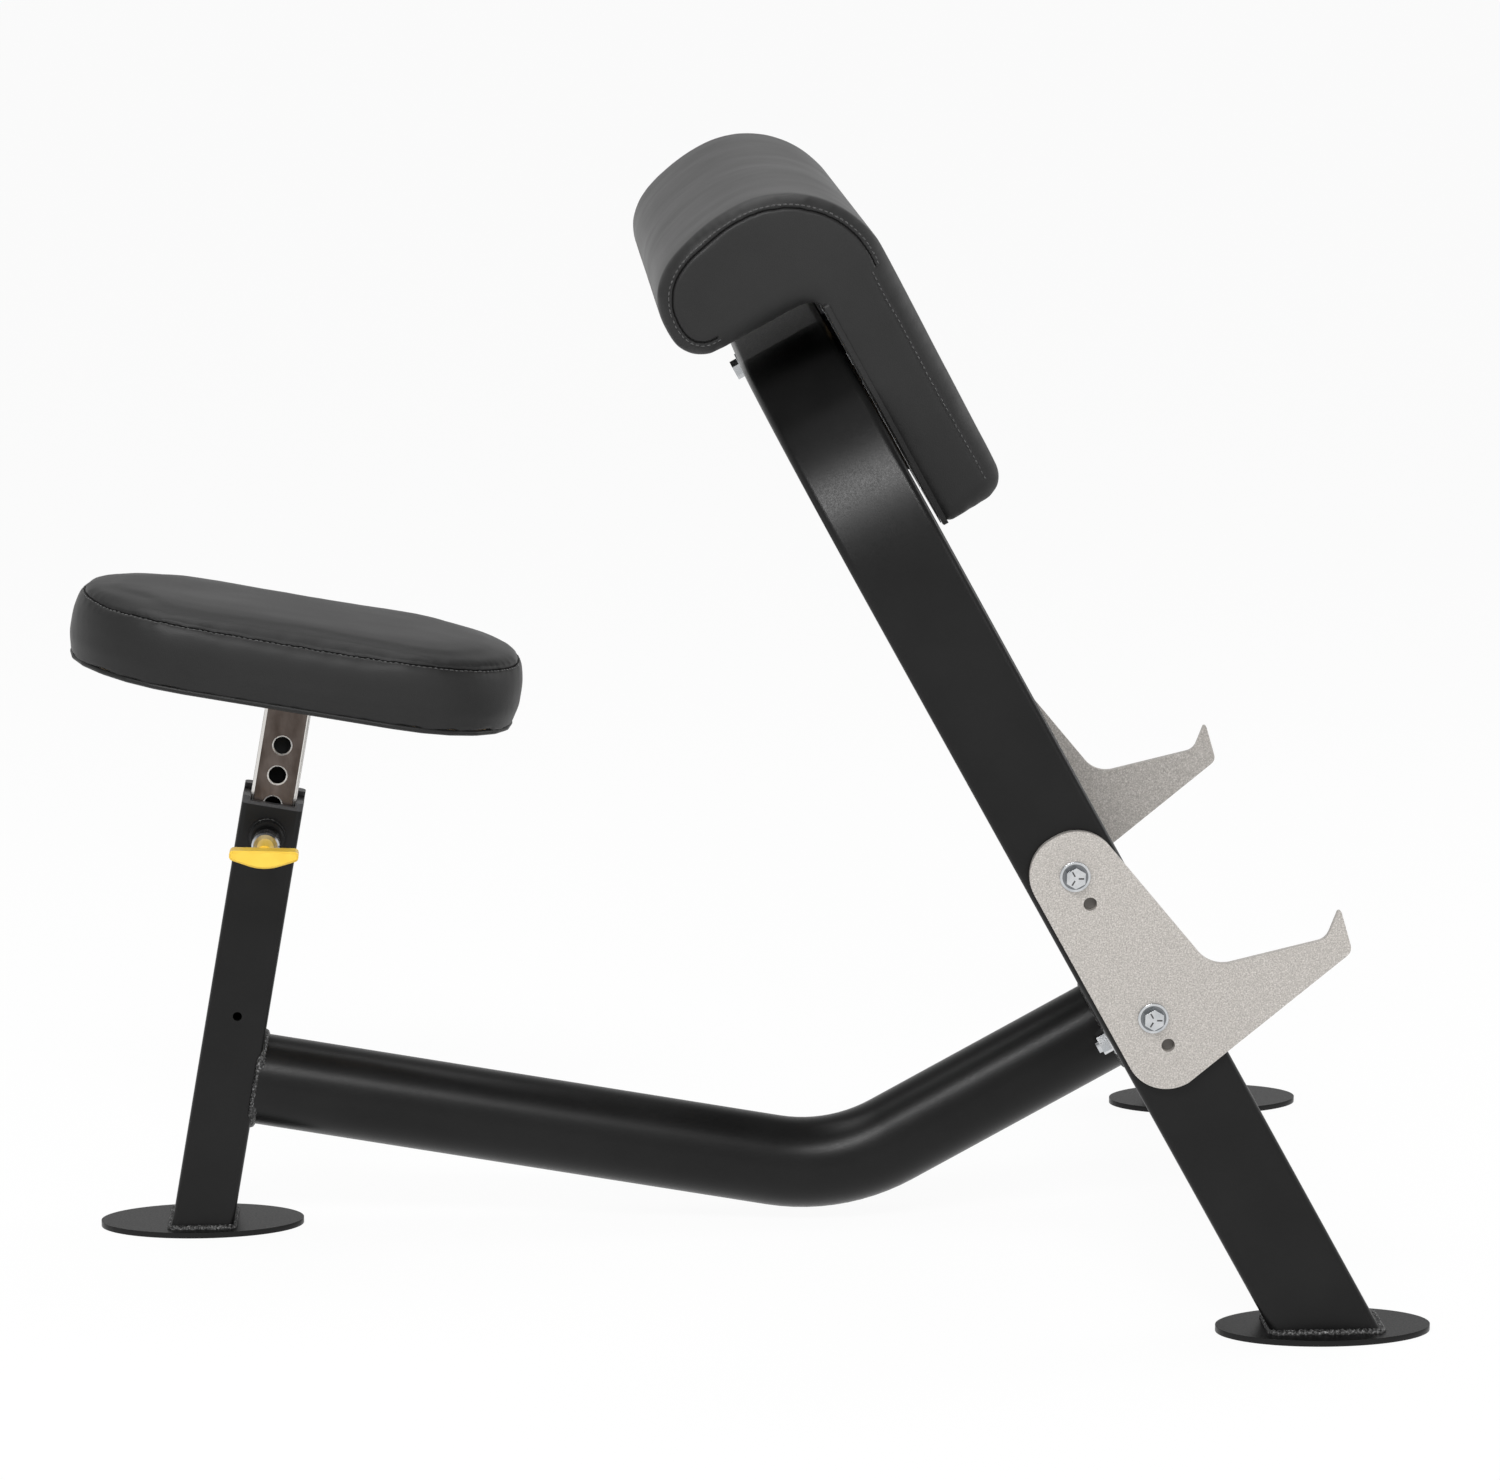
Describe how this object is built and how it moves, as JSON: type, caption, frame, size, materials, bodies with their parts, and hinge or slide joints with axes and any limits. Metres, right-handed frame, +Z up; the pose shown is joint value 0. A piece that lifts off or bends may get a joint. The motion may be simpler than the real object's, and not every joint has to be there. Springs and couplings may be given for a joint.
{
  "type": "preacher curl bench",
  "caption": "Preacher curl bench: padded arm rest on a leaning tube arch with bar catches, joined by a bent spine tube to a seat that slides on a pin-locked post.",
  "frame": {"origin": "on the floor, under the middle of the bench's overall box", "axes": "+X from the seat towards the arch, +Y to the sitter's left, +Z up"},
  "size_m": [1.0786, 0.7692, 0.8914],
  "materials": {
    "powder_black": "satin powder coat",
    "silver_paint": "silver metallic powder coat",
    "zinc_steel": "bright zinc plating",
    "inner_steel": "plated steel tube",
    "sleeve_plastic": "moulded nylon",
    "handle_yellow": "satin moulded",
    "charcoal_vinyl": "grained vinyl",
    "plywood": "raw plywood"
  },
  "bodies": {
    "frame": {"arch_tube": "powder_black", "cross_brace": "powder_black", "main_tube": "powder_black", "tube_flange": "powder_black", "seat_post": "powder_black", "front_foot_right": "powder_black", "front_foot_left": "powder_black", "rear_foot": "powder_black", "pin_boss": "powder_black", "pad_plate": "powder_black", "bar_catch_right": "silver_paint", "bar_catch_left": "silver_paint", "flange_bolts": "zinc_steel", "flange_washers": "zinc_steel", "flange_nuts": "zinc_steel", "catch_bolts": "zinc_steel", "catch_washers": "zinc_steel", "catch_nuts": "zinc_steel", "pad_bolt": "zinc_steel", "pad_bolt_washer": "zinc_steel", "pad_screws": "zinc_steel", "pin_barrel": "zinc_steel", "post_sleeve": "sleeve_plastic", "arm_pad": "charcoal_vinyl", "pad_board": "plywood"},
    "seat": {"inner_post": "inner_steel", "seat_plate": "powder_black", "seat_board": "plywood", "seat_cushion": "charcoal_vinyl", "seat_screws": "zinc_steel"},
    "pull_pin": {"plunger": "zinc_steel", "pull_handle": "handle_yellow"}
  },
  "joints": [
    {"name": "seat_slide", "type": "slide", "parent": "frame", "child": "seat", "axis": [0.1771, 0, 0.9842], "range_m": [-0.0762, 0.0762]},
    {"name": "pin_pull", "type": "slide", "parent": "frame", "child": "pull_pin", "axis": [0, -1, 0], "range_m": [0, 0.013], "stiffness_N_per_m": 800, "springref_m": -0.02}
  ]
}
